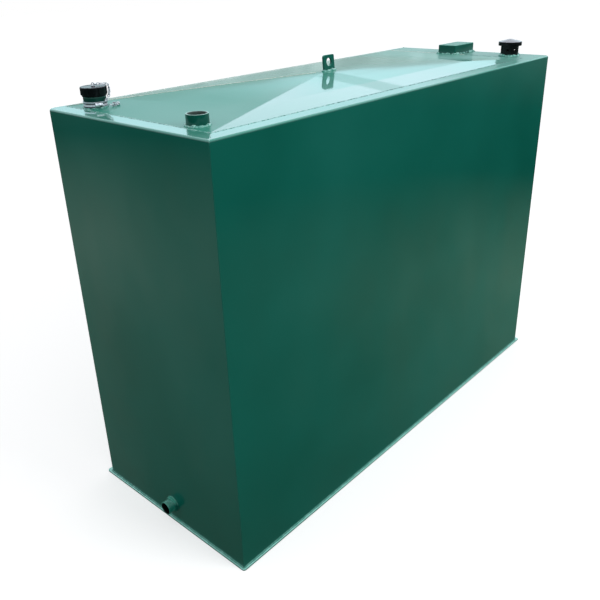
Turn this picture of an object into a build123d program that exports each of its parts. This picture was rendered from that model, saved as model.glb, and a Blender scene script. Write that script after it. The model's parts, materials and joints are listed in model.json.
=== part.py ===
from build123d import *
import math
import os

# Millimetres. Origin: middle of the walls' footprint on the base plate's underside.
# X runs along the tank to the vent end, Y to the back, Z up.

# Outer tank
length = 1700.0
width = 656.0
height = 1218.0
sheet = 3.0
top_fold = 6.0
wall_fold = 22.0
flange = 50.0
rear_flange = 14.0
vent_end_flange = 130.0
seat_gap = 0.3

# Base plate
base_thickness = 4.0
base_lip = 10.0
base_corner = 14.0
foot_weld = 4.0

# Top panel
peak_rise = 25.0
peak_shift = 5.0
panel_bow = 1.5

# Lifting lug
lug_length = 51.0
lug_height = 48.0
lug_thickness = 7.0
lug_hole_radius = 12.5
lug_hole_height = 26.5
lug_near_corner = 9.0
lug_far_corner = 4.0
lug_weld = 3.0

# Hood over the opening at the vent end
hood_length = 143.0
hood_width = 75.0
hood_height = 34.5
hood_end_gap = 2.0
hood_edge = 3.0
hood_y = 26.0
hood_weld = 5.0
hood_ledge = 9.0

# Two inch pipe, for the fill riser and the vent riser
pipe_radius = 30.15
pipe_wall = 3.6
riser_from_end = 86.0
riser_from_back = 106.0
riser_weld = 3.0
stub_depth = 10.0
pipe_weld = 4.0
weld_root = 1.0

# Fill cap
cap_top = 58.5
cap_grip_radius = 35.0
cap_grip_height = 21.5
cap_skirt_radius = 32.0
cap_skirt_height = 6.0
cap_roof = 4.0
cap_edge = 1.0
cap_grooves = 8
cap_groove_width = 2.0
cap_groove_depth = 1.5
cap_groove_start = -102.7
thread_clearance = 0.3
seal_thickness = 2.5
seal_width = 10.0

# Swivel and chain
stud_radius = 2.5
stud_head_radius = 5.5
stud_head_height = 1.5
eye_size = 8.6
eye_sink = 0.5
link_length = 12.0
link_width = 7.8
link_wire = 2.0
link_gap = 0.3
link_roll = 45.0
link_twist = 15.0
link_ease = 0.6
chain_angle = -22.0

# Hose clip
clip_height = 5.5
clip_width = 13.0
clip_thickness = 0.9
clip_rim = 1.0
clip_angle = -113.0
housing_length = 14.0
housing_radius = 6.0
housing_wall = 1.2
screw_head_radius = 5.0
screw_head_length = 5.0
screw_slot_width = 1.2
screw_slot_depth = 1.5

# One and a half inch socket and its drop pipe
socket_radius = 27.3
socket_bore = 22.4
socket_length = 48.0
socket_rise = 29.0
socket_from_end = 87.0
socket_from_front = 136.0
socket_weld = 4.0
socket_edge = 1.8
drop_pipe_radius = 24.15
drop_pipe_wall = 3.2

# One and a quarter inch outlet
outlet_y = -20.0
outlet_z = 59.0
outlet_collar_radius = 25.0
outlet_collar_length = 10.0
outlet_pipe_radius = 21.2
outlet_pipe_wall = 3.2
outlet_thread_length = 19.0
outlet_thread_radius = 20.95
outlet_depth = 12.0
outlet_edge = 1.2

# Vent
vent_from_end = 76.0
vent_from_front = 128.0
vent_start = 6.0
vent_engagement = 9.0
vent_body_radius = 32.2
vent_body_height = 31.0
vent_bore = 26.0
vent_holes = 7
vent_hole_radius = 4.6
vent_hole_height = 15.8
vent_hole_start = 38.3
brim_radius = 42.2
brim_height = 14.0
brim_wall = 3.0
cone_rise = 9.0
cone_tip = 5.0
spigot_depth = 5.0
spigot_wall = 3.0
gauze_thickness = 1.0

# Inner tank
inner_gap = 35.0
inner_headroom = 68.0
inner_fold = 20.0
bearer_height = 28.0
bearer_width = 70.0
bearer_flange = 18.0
bearer_from_end = 230.0
baffle_from_end = 580.0
baffle_edge = 20.0
oil_way_radius = 90.0
oil_way_height = 420.0
baffle_foot_way = 60.0

# Values that follow from the sizes above
half_length = length / 2
half_width = width / 2
panel_left = -half_length + flange
panel_right = half_length - vent_end_flange
panel_front = -half_width + flange
panel_rear = half_width - rear_flange
panel_peak = height + peak_rise
peak_x = (panel_left + panel_right) / 2 + peak_shift
peak_y = (panel_front + panel_rear) / 2
deep = height - 2 * flange
riser_x = -half_length + riser_from_end
riser_y = half_width - riser_from_back
socket_x = -half_length + socket_from_end
socket_y = -half_width + socket_from_front
vent_x = half_length - vent_from_end
vent_y = -half_width + vent_from_front
hood_x = half_length - top_fold - hood_end_gap - hood_length / 2
inner_half_length = half_length - inner_gap
inner_half_width = half_width - inner_gap
inner_floor = base_thickness + bearer_height
inner_wrap_foot = inner_floor + sheet
inner_top = height - inner_headroom
inner_wrap_top = inner_top - sheet
hole_radius = pipe_radius + seat_gap
drop_hole_radius = drop_pipe_radius + seat_gap
outlet_hole_radius = outlet_pipe_radius + seat_gap
pipe_bore = pipe_radius - pipe_wall
cap_under = height + cap_top - cap_roof
cap_foot = height + cap_top - cap_grip_height - cap_skirt_height
riser_end = cap_under - seal_thickness - seat_gap
vent_foot = height + vent_start
vent_mouth = vent_foot + vent_engagement
vent_roof = vent_foot + vent_body_height

parts = {}


def block(x_low, x_high, y_low, y_high, z_low, z_high):
    """Rectangular solid between six limits."""
    with BuildPart() as made:
        with Locations(((x_low + x_high) / 2, (y_low + y_high) / 2, (z_low + z_high) / 2)):
            Box(x_high - x_low, y_high - y_low, z_high - z_low)
    return made.part


def post(x, y, radius, z_low, z_high):
    """Upright cylinder."""
    with BuildPart() as made:
        with BuildSketch(Plane.XY.offset(z_low)):
            with Locations((x, y)):
                Circle(radius)
        extrude(amount=z_high - z_low)
    return made.part


def turned(x, y, points):
    """Solid turned about an upright axis from a closed outline of radius and height."""
    with BuildPart() as made:
        with BuildSketch(Plane(origin=(x, y, 0), x_dir=(1, 0, 0), z_dir=(0, -1, 0))):
            with BuildLine():
                Polyline(*points, close=True)
            make_face()
        revolve(axis=Axis((x, y, 0), (0, 0, 1)))
    return made.part


def tube(x, y, outer, inner, z_low, z_high):
    """Upright tube."""
    return turned(x, y, [(inner, z_low), (outer, z_low), (outer, z_high), (inner, z_high)])


def footprint(grow, radius, z_low, z_high, top_radius):
    """Solid over the walls' footprint, with its two folded corners and its top folds."""
    with BuildPart() as made:
        with BuildSketch(Plane.XY.offset(z_low)) as outline:
            Rectangle(length + 2 * grow, width + 2 * grow)
            fillet([v for v in outline.vertices() if v.X * v.Y < 0], radius)
        extrude(amount=z_high - z_low)
        if top_radius > 0:
            fillet(made.faces().sort_by(Axis.Z)[-1].edges(), top_radius)
    return made.part


def arch(plane, low_end, peak, high_end, reach):
    """Solid under a low pointed arch with slightly bowed sides, run right across the other way."""
    middle_height = (height + panel_peak) / 2 + panel_bow
    with BuildPart() as made:
        with BuildSketch(plane):
            with BuildLine():
                Polyline((high_end, height), (high_end, deep), (low_end, deep), (low_end, height))
                ThreePointArc((low_end, height), ((low_end + peak) / 2, middle_height), (peak, panel_peak))
                ThreePointArc((peak, panel_peak), ((high_end + peak) / 2, middle_height), (high_end, height))
            make_face()
        extrude(amount=reach, both=True)
    return made.part


def plate(x_half, y_half, radius, z_low, z_high):
    """Flat plate with rounded corners."""
    with BuildPart() as made:
        with BuildSketch(Plane.XY.offset(z_low)):
            RectangleRounded(2 * x_half, 2 * y_half, radius)
        extrude(amount=z_high - z_low)
    return made.part


def panel_rise(x, y):
    """Height of the panel's faces over its edge at a place, to seat a weld by."""
    along = min((x - panel_left) / (peak_x - panel_left), (panel_right - x) / (panel_right - peak_x))
    across = min((y - panel_front) / (peak_y - panel_front), (panel_rear - y) / (panel_rear - peak_y))
    share = max(0, min(along, across))
    return share * peak_rise + 4 * share * (1 - share) * panel_bow


def weld_ring(x, y, radius, leg, z):
    """Fillet round an upright pipe, rooted in its wall and carried below the surface for trimming."""
    root = radius - weld_root
    return turned(x, y, [(root, z - leg), (radius + 2 * leg, z - leg), (radius, z + leg), (root, z + leg)])


def weld_frame(x, y, x_size, y_size, leg, z):
    """Fillet round a rectangular foot, carried below the surface for trimming."""
    with BuildPart() as made:
        with BuildSketch(Plane.XY.offset(z - leg)):
            with Locations((x, y)):
                Rectangle(x_size + 4 * leg, y_size + 4 * leg)
        extrude(amount=2 * leg, taper=45)
        with Locations((x, y, z)):
            Box(x_size, y_size, 4 * leg, mode=Mode.SUBTRACT)
    return made.part


# Outer tank: one folded sheet for the front and the vent end, one for the outlet end and the back
outside = footprint(0, wall_fold, base_thickness, height, top_fold)
inside = footprint(-sheet, wall_fold - sheet, 0, height - sheet, top_fold - sheet)
top_opening = block(panel_left, panel_right, panel_front, panel_rear, deep, height + sheet)
walls = outside - inside - top_opening
with BuildPart() as first_sheet:
    with BuildSketch():
        with BuildLine():
            Polyline(
                (-half_length - flange, -half_width - flange),
                (panel_left, panel_front),
                (panel_right - flange, panel_rear),
                (half_length - rear_flange, panel_rear),
                (half_length + flange, half_width + flange),
                (half_length + flange, -half_width - flange),
                close=True,
            )
        make_face()
    extrude(amount=height + flange)

# Openings cut through the walls and the top
riser_hole = post(riser_x, riser_y, hole_radius, deep, panel_peak)
socket_hole = post(socket_x, socket_y, socket_radius + seat_gap, deep, panel_peak)
vent_hole = post(vent_x, vent_y, hole_radius, deep, panel_peak)
with BuildPart() as hood_hole:
    with BuildSketch(Plane.XY.offset(deep)):
        with Locations((hood_x, hood_y)):
            inset = 2 * (sheet + hood_ledge)
            RectangleRounded(hood_length - inset, hood_width - inset, hood_edge)
    extrude(amount=panel_peak - deep)
with BuildPart() as outlet_hole:
    with BuildSketch(Plane.YZ.offset(-length)):
        with Locations((outlet_y, outlet_z)):
            Circle(outlet_hole_radius)
    extrude(amount=length)
parts["bund_shell_front_right"] = (walls & first_sheet.part) - vent_hole - hood_hole.part
parts["bund_shell_left_back"] = walls - first_sheet.part - outlet_hole.part

# Base plate, with the fillet that joins the walls to it
with BuildPart() as foot:
    with BuildSketch(Plane.XY.offset(base_thickness)) as foot_line:
        Rectangle(length + 2 * foot_weld, width + 2 * foot_weld)
        fillet([v for v in foot_line.vertices() if v.X * v.Y < 0], wall_fold + foot_weld)
    extrude(amount=foot_weld, taper=45)
base = plate(half_length + base_lip, half_width + base_lip, base_corner, 0, base_thickness)
parts["base_plate"] = base + (foot.part - footprint(0, wall_fold, base_thickness, height, 0))

# Cross-broken top panel, butted to the flanges: four gently bowed faces up to the peak
crown_fill = arch(Plane.XZ, panel_left, peak_x, panel_right, width) & arch(
    Plane.YZ, panel_front, peak_y, panel_rear, length
)
panel = crown_fill - crown_fill.moved(Location((0, 0, -sheet)))
parts["top_panel"] = panel - riser_hole - socket_hole - hood_hole.part


def seated(piece):
    """The piece without what lies under the top's upper faces."""
    return piece - crown_fill - outside


# Lifting lug, its foot following the peak, with its weld
with BuildPart() as lug:
    with BuildSketch(Plane(origin=(peak_x, peak_y, height), x_dir=(1, 0, 0), z_dir=(0, -1, 0))) as face:
        with Locations((0, (peak_rise + lug_height) / 2)):
            Rectangle(lug_length, peak_rise + lug_height)
        fillet(face.vertices().group_by(Axis.Y)[-1].sort_by(Axis.X)[0], lug_near_corner)
        fillet(face.vertices().group_by(Axis.Y)[-1].sort_by(Axis.X)[-1], lug_far_corner)
        with Locations((0, peak_rise + lug_hole_height)):
            Circle(lug_hole_radius, mode=Mode.SUBTRACT)
    extrude(amount=lug_thickness / 2, both=True)
lug_bead = weld_frame(peak_x, peak_y, lug_length, lug_thickness, lug_weld, panel_peak)
parts["lifting_lug"] = seated(lug.part + lug_bead)

# Folded hood over its opening, with its weld
hood_low = height - top_fold
hood_roof = height + hood_height
with BuildPart() as hood:
    with Locations((hood_x, hood_y, (hood_low + hood_roof) / 2)):
        Box(hood_length, hood_width, hood_roof - hood_low)
    fillet(hood.edges().filter_by(Axis.Z), hood_edge)
    fillet(hood.faces().sort_by(Axis.Z)[-1].edges(), hood_edge)
    with Locations((hood_x, hood_y, (hood_low + hood_roof) / 2 - sheet)):
        Box(hood_length - 2 * sheet, hood_width - 2 * sheet, hood_roof - hood_low, mode=Mode.SUBTRACT)
hood_bead = weld_frame(hood_x, hood_y, hood_length, hood_width, hood_weld, height + sheet / 2)
parts["hood"] = seated(hood.part + hood_bead)

# Fill riser, from the inner tank through the top
riser_tube = tube(riser_x, riser_y, pipe_radius, pipe_bore, inner_wrap_top - stub_depth, riser_end)
riser_seat = height + panel_rise(riser_x, riser_y)
parts["fill_riser"] = riser_tube + seated(
    weld_ring(riser_x, riser_y, pipe_radius, riser_weld, riser_seat)
)

# Fill cap: a moulded shell with grooves round its grip
grip_foot = cap_foot + cap_skirt_height
cap_bore = pipe_radius + thread_clearance
cap_shell = turned(
    riser_x,
    riser_y,
    [
        (cap_bore, cap_foot),
        (cap_skirt_radius, cap_foot),
        (cap_skirt_radius, grip_foot),
        (cap_grip_radius - cap_edge, grip_foot),
        (cap_grip_radius, grip_foot + cap_edge),
        (cap_grip_radius, height + cap_top - cap_edge),
        (cap_grip_radius - cap_edge, height + cap_top),
        (stud_radius + seat_gap, height + cap_top),
        (stud_radius + seat_gap, cap_under),
        (cap_bore, cap_under),
    ],
)
with BuildPart() as grooves:
    with BuildSketch(Plane.XY.offset(grip_foot)):
        with Locations((riser_x, riser_y)):
            with PolarLocations(cap_grip_radius, cap_grooves, start_angle=cap_groove_start):
                Rectangle(2 * cap_groove_depth, cap_groove_width)
    extrude(amount=cap_grip_height)
parts["fill_cap"] = cap_shell - grooves.part
parts["fill_cap_seal"] = tube(
    riser_x, riser_y, pipe_radius, pipe_radius - seal_width, cap_under - seal_thickness, cap_under
)

# Swivel: a stud through the cap's roof with an eye that stands on it
head_face = cap_under - seat_gap
collar_foot = height + cap_top + seat_gap
collar_top = collar_foot + stud_head_height
eye_height = collar_top + eye_size / 2 - eye_sink
swivel = turned(
    riser_x,
    riser_y,
    [
        (0, head_face - stud_head_height),
        (stud_head_radius, head_face - stud_head_height),
        (stud_head_radius, head_face),
        (stud_radius, head_face),
        (stud_radius, collar_foot),
        (stud_head_radius, collar_foot),
        (stud_head_radius, collar_top),
        (0, collar_top),
    ],
)


def wire_loop(long_side, short_side):
    """Closed loop of wire with eight sides and an eight-sided section, lying in its own XY plane."""
    corner_share = 1 - math.sqrt(0.5)
    outer_corner = corner_share * short_side
    inner_corner = outer_corner - 2 * corner_share * link_wire
    with BuildPart() as made:
        with BuildSketch() as outer:
            Rectangle(long_side, short_side)
            chamfer(outer.vertices(), outer_corner)
        extrude(amount=link_wire / 2, both=True)
        with BuildSketch() as inner:
            Rectangle(long_side - 2 * link_wire, short_side - 2 * link_wire)
            chamfer(inner.vertices(), inner_corner)
        extrude(amount=link_wire / 2, both=True, mode=Mode.SUBTRACT)
        chamfer(made.faces().filter_by(Axis.Z).edges(), corner_share * link_wire)
    return made.part


eye_turn = math.radians(chain_angle + 90)
eye_normal = (math.cos(eye_turn), math.sin(eye_turn), 0)
eye_plane = Plane(origin=(riser_x, riser_y, eye_height), x_dir=(0, 0, 1), z_dir=eye_normal)
parts["cap_swivel"] = swivel + wire_loop(eye_size, eye_size).moved(eye_plane.location)

# Safety chain
link = wire_loop(link_length, link_width)
link_pitch = link_length - 2 * link_wire - link_gap


def chain(points):
    """Links at even steps along a curve, each turned a quarter from the one before."""
    with BuildLine() as run:
        Spline(*points)
    curve = run.wires()[0]
    links = []
    for index in range(int(curve.length / link_pitch)):
        near = curve.position_at(index * link_pitch, position_mode=PositionMode.LENGTH)
        far = curve.position_at((index + 1) * link_pitch, position_mode=PositionMode.LENGTH)
        along = (far - near).normalized()
        across = Vector(0, 0, 1).cross(along).normalized()
        roll = 90 + min(index * link_twist, link_roll) + 90 * (index % 2)
        place = Plane(
            origin=(near + far) * 0.5, x_dir=along, z_dir=across.rotate(Axis((0, 0, 0), along), roll)
        )
        links.append(link.moved(place.location))
    return Compound(children=links)


def round_riser(radius, angle, z):
    """Point beside the riser, by radius, angle and height over the flange."""
    turn = math.radians(angle)
    return (riser_x + radius * math.cos(turn), riser_y + radius * math.sin(turn), height + z)


link_depth = (link_width + link_wire) / 2 * math.sin(math.radians(link_roll))
on_cap = link_depth + link_ease
beside_cap = cap_grip_radius + on_cap
parts["chain_upper_run"] = chain(
    [
        round_riser(eye_size / 2 - link_wire - link_gap / 2, chain_angle, eye_height - height),
        round_riser(10, chain_angle, cap_top + 1.2 * on_cap),
        round_riser(20, chain_angle, cap_top + on_cap),
        round_riser(30, chain_angle - 1, cap_top + on_cap),
        round_riser(beside_cap - 1.5, chain_angle - 3, cap_top + on_cap - 1),
        round_riser(beside_cap + 1, chain_angle - 5, cap_top - 5),
        round_riser(beside_cap + 0.5, chain_angle - 12, cap_top - 16),
        round_riser(beside_cap, chain_angle - 26, cap_top - 26),
        round_riser(beside_cap - 1, chain_angle - 44, cap_top - 35),
        round_riser(beside_cap - 1, chain_angle - 62, cap_top - 41),
    ]
)
parts["chain_slack_run"] = chain(
    [
        round_riser(40, -60, 8.8),
        round_riser(46, -56, 7.0),
        round_riser(57, -46, 7.2),
        round_riser(61, -33, 7.5),
        round_riser(54, -23, 7.4),
        round_riser(46, -33, 7.3),
    ]
)

# Hose clip: a band with rolled rims, its worm housing and the worm
band_inner = pipe_radius
band_outer = band_inner + clip_thickness
band_foot = height + clip_height
band_head = band_foot + clip_width
parts["clip_band"] = turned(
    riser_x,
    riser_y,
    [
        (band_inner, band_foot),
        (band_outer + clip_rim, band_foot),
        (band_outer + clip_rim, band_foot + clip_rim),
        (band_outer, band_foot + 2 * clip_rim),
        (band_outer, band_head - 2 * clip_rim),
        (band_outer + clip_rim, band_head - clip_rim),
        (band_outer + clip_rim, band_head),
        (band_inner, band_head),
    ],
)
outward = Vector(math.cos(math.radians(clip_angle)), math.sin(math.radians(clip_angle)), 0)
worm_middle = Vector(riser_x, riser_y, (band_foot + band_head) / 2) + outward * (band_outer + housing_radius)
worm_plane = Plane(origin=worm_middle, x_dir=outward, z_dir=Vector(0, 0, 1).cross(outward))
worm_radius = housing_radius - housing_wall
with BuildPart() as housing:
    with BuildSketch(worm_plane):
        Circle(housing_radius)
        with Locations((-housing_radius / 2, 0)):
            Rectangle(housing_radius, 2 * housing_radius)
        Circle(worm_radius + seat_gap, mode=Mode.SUBTRACT)
    extrude(amount=housing_length / 2, both=True)
within_band = post(riser_x, riser_y, band_outer, band_foot, band_head)
parts["clip_housing"] = housing.part - within_band - parts["clip_band"]
with BuildPart() as worm:
    with BuildSketch(worm_plane.offset(-housing_length / 2)):
        Circle(worm_radius)
    extrude(amount=housing_length)
    with BuildSketch(worm_plane.offset(housing_length / 2 + seat_gap)):
        RegularPolygon(screw_head_radius, 6)
    extrude(amount=screw_head_length)
    with BuildSketch(worm_plane.offset(housing_length / 2)):
        Circle(worm_radius / 2)
    extrude(amount=screw_head_length / 2)
    with BuildSketch(worm_plane.offset(housing_length / 2 + seat_gap + screw_head_length - screw_slot_depth)):
        Rectangle(2 * screw_head_radius, screw_slot_width)
    extrude(amount=screw_slot_depth, mode=Mode.SUBTRACT)
parts["clip_screw"] = worm.part

# Open socket with its weld, and its drop pipe into the inner tank
socket_end = height + socket_rise
socket_foot = socket_end - socket_length
socket_body = turned(
    socket_x,
    socket_y,
    [
        (socket_bore, socket_foot),
        (socket_radius, socket_foot),
        (socket_radius, socket_end - socket_edge),
        (socket_radius - socket_edge, socket_end),
        (socket_bore + socket_edge, socket_end),
        (socket_bore, socket_end - socket_edge),
    ],
)
socket_seat = height + panel_rise(socket_x, socket_y)
parts["spare_socket"] = socket_body + seated(
    weld_ring(socket_x, socket_y, socket_radius, socket_weld, socket_seat)
)
parts["spare_drop_pipe"] = tube(
    socket_x,
    socket_y,
    drop_pipe_radius,
    drop_pipe_radius - drop_pipe_wall,
    inner_wrap_top - stub_depth,
    socket_foot,
)

# Outlet: a collar on the end wall and a pipe that ends in a threaded nose
collar_end = -half_length - outlet_collar_length
nose_end = collar_end - outlet_thread_length
outlet_plane = Plane(origin=(-half_length, outlet_y, outlet_z), x_dir=(0, 1, 0), z_dir=(-1, 0, 0))
with BuildPart() as collar:
    with BuildSketch(outlet_plane):
        Circle(outlet_collar_radius)
        Circle(outlet_pipe_radius, mode=Mode.SUBTRACT)
    extrude(amount=outlet_collar_length)
    chamfer(collar.edges().group_by(Axis.X)[0].sort_by(SortBy.RADIUS)[-1], outlet_collar_length / 4)
parts["outlet_collar"] = collar.part
with BuildPart() as outlet:
    with BuildSketch(outlet_plane.offset(-inner_gap - outlet_depth)):
        Circle(outlet_pipe_radius)
    extrude(amount=inner_gap + outlet_depth + outlet_collar_length)
    with BuildSketch(outlet_plane.offset(outlet_collar_length)):
        Circle(outlet_thread_radius)
    extrude(amount=outlet_thread_length)
    chamfer(outlet.edges().group_by(Axis.X)[0], outlet_edge)
    with BuildSketch(outlet_plane.offset(outlet_collar_length + outlet_thread_length)):
        Circle(outlet_pipe_radius - outlet_pipe_wall)
    extrude(amount=-length, mode=Mode.SUBTRACT)
parts["outlet_pipe"] = outlet.part

# Vent: riser, gauze on its mouth, moulded body with a ring of holes, and conical cap
parts["vent_riser"] = tube(
    vent_x, vent_y, pipe_radius, pipe_bore, inner_wrap_top - stub_depth, vent_mouth
) + seated(weld_ring(vent_x, vent_y, pipe_radius, pipe_weld, height))
gauze_face = vent_mouth + gauze_thickness
parts["vent_gauze"] = post(vent_x, vent_y, pipe_radius, vent_mouth, gauze_face)
vent_socket = pipe_radius + thread_clearance
vent_shell = turned(
    vent_x,
    vent_y,
    [
        (vent_socket, vent_foot),
        (vent_body_radius, vent_foot),
        (vent_body_radius, vent_roof),
        (vent_bore, vent_roof),
        (vent_bore, gauze_face),
        (vent_socket, gauze_face),
    ],
)
with BuildPart() as vent_cuts:
    with Locations((vent_x, vent_y, vent_foot + vent_hole_height)):
        with PolarLocations(vent_bore, vent_holes, start_angle=vent_hole_start):
            Cylinder(vent_hole_radius, vent_body_radius, rotation=(0, 90, 0))
parts["vent_body"] = vent_shell - vent_cuts.part
brim_top = vent_roof + brim_height
spigot_radius = vent_bore - seat_gap
parts["vent_cap"] = turned(
    vent_x,
    vent_y,
    [
        (0, vent_roof),
        (spigot_radius - spigot_wall, vent_roof),
        (spigot_radius - spigot_wall, vent_roof - spigot_depth),
        (spigot_radius, vent_roof - spigot_depth),
        (spigot_radius, vent_roof),
        (vent_body_radius, vent_roof),
        (vent_body_radius + brim_wall, brim_top - brim_wall),
        (brim_radius - brim_wall, brim_top - brim_wall),
        (brim_radius - brim_wall, vent_roof),
        (brim_radius, vent_roof),
        (brim_radius, brim_top),
        (cone_tip, brim_top + cone_rise),
        (0, brim_top + cone_rise),
    ],
)

# Inner tank: floor, wrapper and top, with the openings for its pipes
parts["inner_tank_floor"] = plate(
    inner_half_length, inner_half_width, inner_fold, inner_floor, inner_wrap_foot
)
wrap = plate(inner_half_length, inner_half_width, inner_fold, inner_wrap_foot, inner_wrap_top)
hollow = plate(
    inner_half_length - sheet, inner_half_width - sheet, inner_fold - sheet, inner_wrap_foot, inner_wrap_top
)
parts["inner_tank_wrapper"] = wrap - hollow - outlet_hole.part
drop_hole = post(socket_x, socket_y, drop_hole_radius, inner_wrap_top, inner_top)
top_pipe_holes = post(riser_x, riser_y, hole_radius, inner_wrap_top, inner_top) + post(
    vent_x, vent_y, hole_radius, inner_wrap_top, inner_top
)
parts["inner_tank_top"] = (
    plate(inner_half_length, inner_half_width, inner_fold, inner_wrap_top, inner_top)
    - drop_hole
    - top_pipe_holes
)

# Baffles between the long walls, with oil ways
baffle_x = half_length - baffle_from_end
baffle_half = inner_half_width - sheet - seat_gap
baffle_low = inner_wrap_foot
baffle_high = inner_wrap_top
for name, x in (("baffle_left", -baffle_x), ("baffle_right", baffle_x)):
    with BuildPart() as baffle:
        with BuildSketch(Plane.YZ.offset(x)):
            with Locations((0, (baffle_low + baffle_high) / 2)):
                Rectangle(2 * baffle_half, baffle_high - baffle_low)
            with Locations(
                (-baffle_half, baffle_low),
                (baffle_half, baffle_low),
                (-baffle_half, baffle_high),
                (baffle_half, baffle_high),
            ):
                Circle(baffle_foot_way, mode=Mode.SUBTRACT)
            with Locations((0, oil_way_height), (0, 2 * oil_way_height)):
                Circle(oil_way_radius, mode=Mode.SUBTRACT)
        extrude(amount=sheet)
        for y in (sheet / 2 - baffle_half, baffle_half - sheet / 2):
            with Locations((x + baffle_edge / 2, y, (baffle_low + baffle_high) / 2)):
                Box(baffle_edge, sheet, baffle_high - baffle_low - 2 * baffle_foot_way)
    parts[name] = baffle.part

# Bearers: folded channels under the inner tank
bearer_x = half_length - bearer_from_end
for name, x in (("bearer_left", -bearer_x), ("bearer_middle", 0), ("bearer_right", bearer_x)):
    with BuildPart() as bearer:
        with BuildSketch(Plane.XZ):
            with Locations((x, base_thickness + bearer_height / 2)):
                Rectangle(bearer_width, bearer_height)
                Rectangle(bearer_width - 2 * sheet, bearer_height - 2 * sheet, mode=Mode.SUBTRACT)
            with Locations((x, base_thickness)):
                Rectangle(bearer_width - 2 * bearer_flange, bearer_height - sheet, mode=Mode.SUBTRACT)
        extrude(amount=inner_half_width, both=True)
    parts[name] = bearer.part

os.makedirs("parts", exist_ok=True)
for name, shape in parts.items():
    export_step(shape, f"parts/{name}.step")
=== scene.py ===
import json
import math

import bmesh
import bpy
import numpy as np
from mathutils import Matrix, Vector


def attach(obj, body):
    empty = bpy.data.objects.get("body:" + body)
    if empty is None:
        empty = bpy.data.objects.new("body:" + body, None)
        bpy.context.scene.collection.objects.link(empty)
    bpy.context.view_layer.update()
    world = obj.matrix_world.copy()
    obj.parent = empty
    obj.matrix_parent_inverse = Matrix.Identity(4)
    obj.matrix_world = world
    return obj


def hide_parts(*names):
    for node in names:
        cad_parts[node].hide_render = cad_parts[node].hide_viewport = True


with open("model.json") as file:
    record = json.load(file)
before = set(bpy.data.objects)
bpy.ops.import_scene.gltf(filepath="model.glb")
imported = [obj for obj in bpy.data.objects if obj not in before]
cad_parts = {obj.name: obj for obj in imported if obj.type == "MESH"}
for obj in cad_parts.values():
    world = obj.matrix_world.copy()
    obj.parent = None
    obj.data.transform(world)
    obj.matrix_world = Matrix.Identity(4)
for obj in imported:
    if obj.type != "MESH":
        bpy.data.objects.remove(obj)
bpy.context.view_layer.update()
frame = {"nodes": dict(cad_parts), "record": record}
nodes = frame["nodes"]

# Sizes shared with the CAD source, in metres
HALF_LENGTH = 0.850
HALF_WIDTH = 0.328
HEIGHT = 1.218
BASE = 0.004
PANEL_LEFT = -0.800
PANEL_RIGHT = 0.720
PANEL_FRONT = -0.278
PANEL_REAR = 0.314
PEAK = (-0.035, 0.018)
PEAK_RISE = 0.025
PANEL_BOW = 0.0015
WALL_FOLD = 0.022
RISER = (-0.764, 0.222)
SOCKET = (-0.763, -0.192)
VENT = (0.774, -0.200)
HOOD = (0.7705, 0.026)
OUTLET = (-0.020, 0.059)
PIPE_RADIUS = 0.03015
PIPE_THREAD = 0.002309

# Points along a corner's arc, a ring, a straight side, round a bead, round a link and round its wire
ARC_STEPS = 6
RING_STEPS = 72
SIDE_STEPS = 24
BEAD_STEPS = 10
LINK_STEPS = 28
WIRE_STEPS = 10


# Surfaces


def mesh_piece(name, points, faces, material, body, replaces=(), sharp=35):
    """A closed mesh from an array of points and a list of faces, smooth except over sharp angles."""
    mesh = bpy.data.meshes.new(name)
    mesh.from_pydata(points.reshape(-1, 3).tolist(), [], faces)
    work = bmesh.new()
    work.from_mesh(mesh)
    bmesh.ops.recalc_face_normals(work, faces=work.faces)
    work.to_mesh(mesh)
    work.free()
    mesh.shade_smooth()
    mesh.set_sharp_from_angle(angle=math.radians(sharp))
    return placed(name, mesh, material, body, replaces)


def placed(name, mesh, material, body, replaces=()):
    """The object of a finished mesh, with its paint, the body it rides on and what it stands for."""
    piece = bpy.data.objects.new(name, mesh)
    bpy.context.scene.collection.objects.link(piece)
    mesh.materials.append(material)
    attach(piece, body)
    if replaces:
        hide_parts(*replaces)
    return piece


def smoothed(name, node_name, material, body, sharp=30, edge=0.0, reshape=None):
    """The node's own solid with its loose triangles merged, its curved faces shaded smooth, its flats kept
    flat, its edges rounded by the given width, and its points moved by a rule where one is given."""
    mesh = nodes[node_name].data.copy()
    mesh.name = name
    mesh.materials.clear()
    work = bmesh.new()
    work.from_mesh(mesh)
    bmesh.ops.remove_doubles(work, verts=work.verts, dist=1e-6)
    if edge > 0:
        bmesh.ops.dissolve_limit(work, angle_limit=math.radians(0.5), verts=work.verts, edges=work.edges)
    work.to_mesh(mesh)
    work.free()
    if reshape is not None:
        spots = np.empty(len(mesh.vertices) * 3)
        mesh.vertices.foreach_get("co", spots)
        mesh.vertices.foreach_set("co", reshape(spots.reshape(-1, 3)).ravel())
    mesh.shade_smooth()
    mesh.set_sharp_from_angle(angle=math.radians(sharp))
    piece = placed(name, mesh, material, body, (node_name,))
    if edge > 0:
        rounding = piece.modifiers.new("rounded_edges", "BEVEL")
        rounding.width = edge
        rounding.segments = 3
        rounding.limit_method = "ANGLE"
        rounding.angle_limit = math.radians(sharp)
    flats = piece.modifiers.new("flat_faces_stay_flat", "WEIGHTED_NORMAL")
    flats.keep_sharp = edge == 0
    return piece


def leaning(p):
    """The lug leans a little to the left as it rises."""
    return p - np.array([0.105, 0, 0]) * (p[:, 2:] - HEIGHT - PEAK_RISE)


def narrow_lip(p):
    """The base plate's lip stands out from the walls by a third less."""
    wall = np.array([HALF_LENGTH, HALF_WIDTH, 1.0])
    beyond = np.clip(np.abs(p) - wall, 0, None)
    return p - np.sign(p) * beyond * 0.35


def lowered(p):
    """What hangs from the cap's top sits down on it: three millimetres lower there, nothing at the clip."""
    return p - np.array([0, 0, 0.003]) * np.clip((p[..., 2:] - 1.255) / 0.018, 0, 1)


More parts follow.
